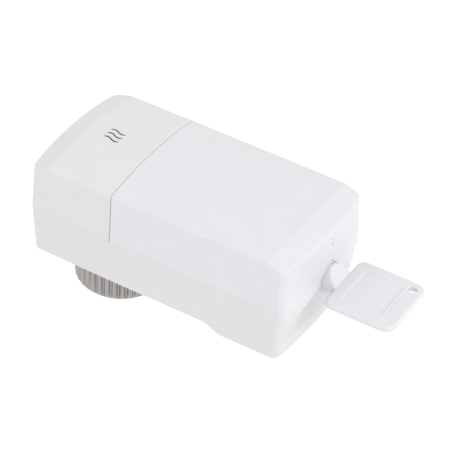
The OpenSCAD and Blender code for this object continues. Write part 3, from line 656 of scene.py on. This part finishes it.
for v in bm.verts:
    s = 1 if v.co.z > ZS else -1
    if abs(abs(v.co.z - ZS) - 1.3) < 1e-4:
        d = 0.36 * gate(v.co.x, 95.4, 110.8) * gate(v.co.y, -9.2, 9.2)
        d += 0.16 * gate(v.co.x, 111.5, 112.3) * gate(v.co.y, -5.9, 5.9)
        v.co.z -= s * d
key = to_object(bm, "key")
shank = cyl_obj((79.6, 0, ZS), "x", 5.75, 14, 96)
prof = [(79, -6), (86.6, -6), (91.3, -1.28), (93, -1.28), (93, 1.28), (91.3, 1.28), (86.6, 6), (79, 6)]
blk = to_object(stack([[(x, y, ZS + z) for x, z in prof] for y in (-20, 20)]), "blk")
boolean(shank, blk, "INTERSECT")
bv = shank.modifiers.new("bv", "BEVEL")
bv.width = 0.35
bv.segments = 3
bv.limit_method = "ANGLE"
bv.angle_limit = math.radians(28)
dg = bpy.context.evaluated_depsgraph_get()
me = bpy.data.meshes.new_from_object(shank.evaluated_get(dg))
shank.modifiers.clear()
shank.data = me
boolean(key, shank, "UNION")
boolean(key, box_obj(75.6, 80.6, -2.9, 2.9, ZS - 0.9, ZS + 0.9), "UNION")
boolean(key, cyl_obj((113.7, 9.6, ZS - 5), "z", 1.6, 10, 48))
for s in (-1, 1):
    boolean(key, cyl_obj((113.7, 9.6, ZS + s * 0.95), "z", 1.6 if s > 0 else 2.0, 0.4, 48, r2=2.0 if s > 0 else 1.6)) if s > 0 else \
        boolean(key, cyl_obj((113.7, 9.6, ZS - 1.35), "z", 2.0, 0.4, 48, r2=1.6))
finish_piece(key, "hand_key", "key", ["key"], M["key_white"], 30)

# ---------------------------------------------------------------- battery springs
bm = bmesh.new()


def tube(points, r, seg=8):
    rings = []
    n = len(points)
    for i, p in enumerate(points):
        t = (Vector(points[min(i + 1, n - 1)]) - Vector(points[max(i - 1, 0)])).normalized()
        a = t.cross(Vector((1, 0, 0)))
        a = a.normalized() if a.length > 0.05 else t.cross(Vector((0, 1, 0))).normalized()
        c = t.cross(a)
        rings.append([bm.verts.new(Vector(p) + r * (math.cos(2 * math.pi * k / seg) * a + math.sin(2 * math.pi * k / seg) * c)) for k in range(seg)])
    for u, v in zip(rings, rings[1:]):
        for k in range(seg):
            j = (k + 1) % seg
            bm.faces.new((u[k], u[j], v[j], v[k]))
    bm.faces.new(list(reversed(rings[0])))
    bm.faces.new(rings[-1])


for i in (-1, 0, 1):
    x0, sx_ = (71.3, -1) if i == 0 else (16.2, 1)
    pts = []
    n = 110
    for j in range(n + 1):
        f = j / n
        a = 2 * math.pi * 3.4 * f
        r = 3.9 - 1.2 * f
        pts.append((x0 + sx_ * (0.3 + 1.75 * sstep(f * 0.5 + 0.0) * 2.0 * 0.5 / 0.5 * 0.99), i * 15.3 + r * math.cos(a), 49.4 + r * math.sin(a)))
    tube(pts, 0.26)
spr = to_object(bm, "springs")
finish_piece(spr, "contact_springs_wire", "casing", ["contact_springs"], M["contact_nickel"], 60)

# ---------------------------------------------------------------- printed mark: three small warmth strokes, no lettering
bm = bmesh.new()
for s in range(3):
    y0 = -2.4 + 2.4 * s
    left, right = [], []
    for j in range(25):
        f = j / 24
        x = -7.2 + 6.4 * f
        y = y0 + 0.55 * math.sin(f * 2 * math.pi)
        w = 0.30 * math.sqrt(max(0.0, 1 - (2 * f - 1) ** 8)) + 0.02
        left.append((x, y - w))
        right.append((x, y + w))
    loop = left + right[::-1]
    top = [bm.verts.new((x, y, roof(x, y) + 0.02)) for x, y in loop]
    bot = [bm.verts.new((x, y, roof(x, y) - 0.05)) for x, y in loop]
    n = len(loop)
    for j in range(24):
        bm.faces.new((top[j], top[j + 1], top[n - 2 - j], top[n - 1 - j]))
        bm.faces.new((bot[n - 1 - j], bot[n - 2 - j], bot[j + 1], bot[j]))
    for j in range(n):
        k = (j + 1) % n
        bm.faces.new((top[k], top[j], bot[j], bot[k]))
mark = to_object(bm, "mark")
finish_piece(mark, "front_mark", "casing", [], M["mark_grey"], 60)

# ---------------------------------------------------------------- carried-over nodes
slot_of = {}
for name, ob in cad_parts.items():
    for ms in ob.material_slots:
        if ms.material:
            slot_of[name] = ms.material.name.split(".")[0]
for name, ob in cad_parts.items():
    m = M.get(slot_of.get(name, ""), M["tray_plastic"])
    for ms in ob.material_slots:
        ms.material = m
print("SLOTS", slot_of)

# ---------------------------------------------------------------- stage, light, camera
def floor_material():
    m = bpy.data.materials.new("studio_floor")
    m.use_nodes = True
    nt = m.node_tree
    b = nt.nodes["Principled BSDF"]
    b.inputs["Roughness"].default_value = 0.9
    b.inputs["Specular IOR Level"].default_value = 0.1
    n = nt.nodes.new("ShaderNodeTexNoise")
    n.inputs["Scale"].default_value = 3.0
    r = nt.nodes.new("ShaderNodeValToRGB")
    r.color_ramp.elements[0].color = (0.93, 0.93, 0.93, 1)
    r.color_ramp.elements[1].color = (0.95, 0.95, 0.95, 1)
    nt.links.new(n.outputs["Fac"], r.inputs["Fac"])
    nt.links.new(r.outputs["Color"], b.inputs["Base Color"])
    return m


me = bpy.data.meshes.new("studio_floor")
s = 6.0
FLOOR_Z = -0.10
me.from_pydata([(-s, -s, FLOOR_Z), (s, -s, FLOOR_Z), (s, s, FLOOR_Z), (-s, s, FLOOR_Z)], [], [(0, 1, 2, 3)])
floor = bpy.data.objects.new("studio_floor", me)
scene.collection.objects.link(floor)
me.materials.append(floor_material())

world = bpy.data.worlds.new("studio")
scene.world = world
world.use_nodes = True
bg = world.node_tree.nodes["Background"]
bg.inputs["Color"].default_value = (1.0, 1.0, 1.0, 1)
bg.inputs["Strength"].default_value = 1.0


def area(name, loc, target, size, power, color=(1, 1, 1)):
    d = bpy.data.lights.new(name, "AREA")
    d.shape = "DISK"
    d.size = size
    d.energy = power
    d.color = color
    ob = bpy.data.objects.new(name, d)
    scene.collection.objects.link(ob)
    ob.location = loc
    v = Vector(target) - Vector(loc)
    ob.rotation_euler = v.to_track_quat("-Z", "Y").to_euler()
    return ob


area("soft_key", (0.9, -0.15, 0.6), (0.03, 0, 0.03), 0.6, 3.0, (1.0, 0.995, 1.0))
area("soft_fill", (-0.38, -0.7, 0.75), (0.03, 0, 0.04), 0.35, 1.6)
area("soft_back", (0.75, 0.8, 0.5), (0.05, 0, 0.04), 0.4, 1.2)

# camera solved for the view of the reference: f in pixels over a 450 pixel frame
f_px, AZ, EL, ROLL, TX, TY, DIST = 2485.7, 29.4, 39.22, 3.41, -15.77, 4.0, 888.6
a, e, r = (math.radians(v) for v in (AZ, EL, ROLL))
back = Vector((math.sin(a) * math.cos(e), -math.cos(a) * math.cos(e), math.sin(e)))
fw = -back
right = fw.cross(Vector((0, 0, 1))).normalized()
up = right.cross(fw)
right, up = math.cos(r) * right + math.sin(r) * up, -math.sin(r) * right + math.cos(r) * up
half = 0.5 * DIST / f_px
loc = Vector((25, 0, 38.9)) - (TX + half) * right - (TY - half) * up + DIST * back
cam_d = bpy.data.cameras.new("camera")
cam_d.sensor_fit = "HORIZONTAL"
cam_d.sensor_width = 36.0
cam_d.lens = f_px * 36.0 / 450.0
cam_d.clip_start = 0.05
cam_d.clip_end = 50
cam = bpy.data.objects.new("camera", cam_d)
scene.collection.objects.link(cam)
mw = Matrix.Identity(4)
for i, col in enumerate((right, up, back)):
    for j in range(3):
        mw[j][i] = col[j]
for j in range(3):
    mw[j][3] = loc[j] * 0.001
cam.matrix_world = mw
scene.camera = cam
scene.view_settings.view_transform = "Standard"
scene.view_settings.look = "None"

bpy.context.view_layer.update()
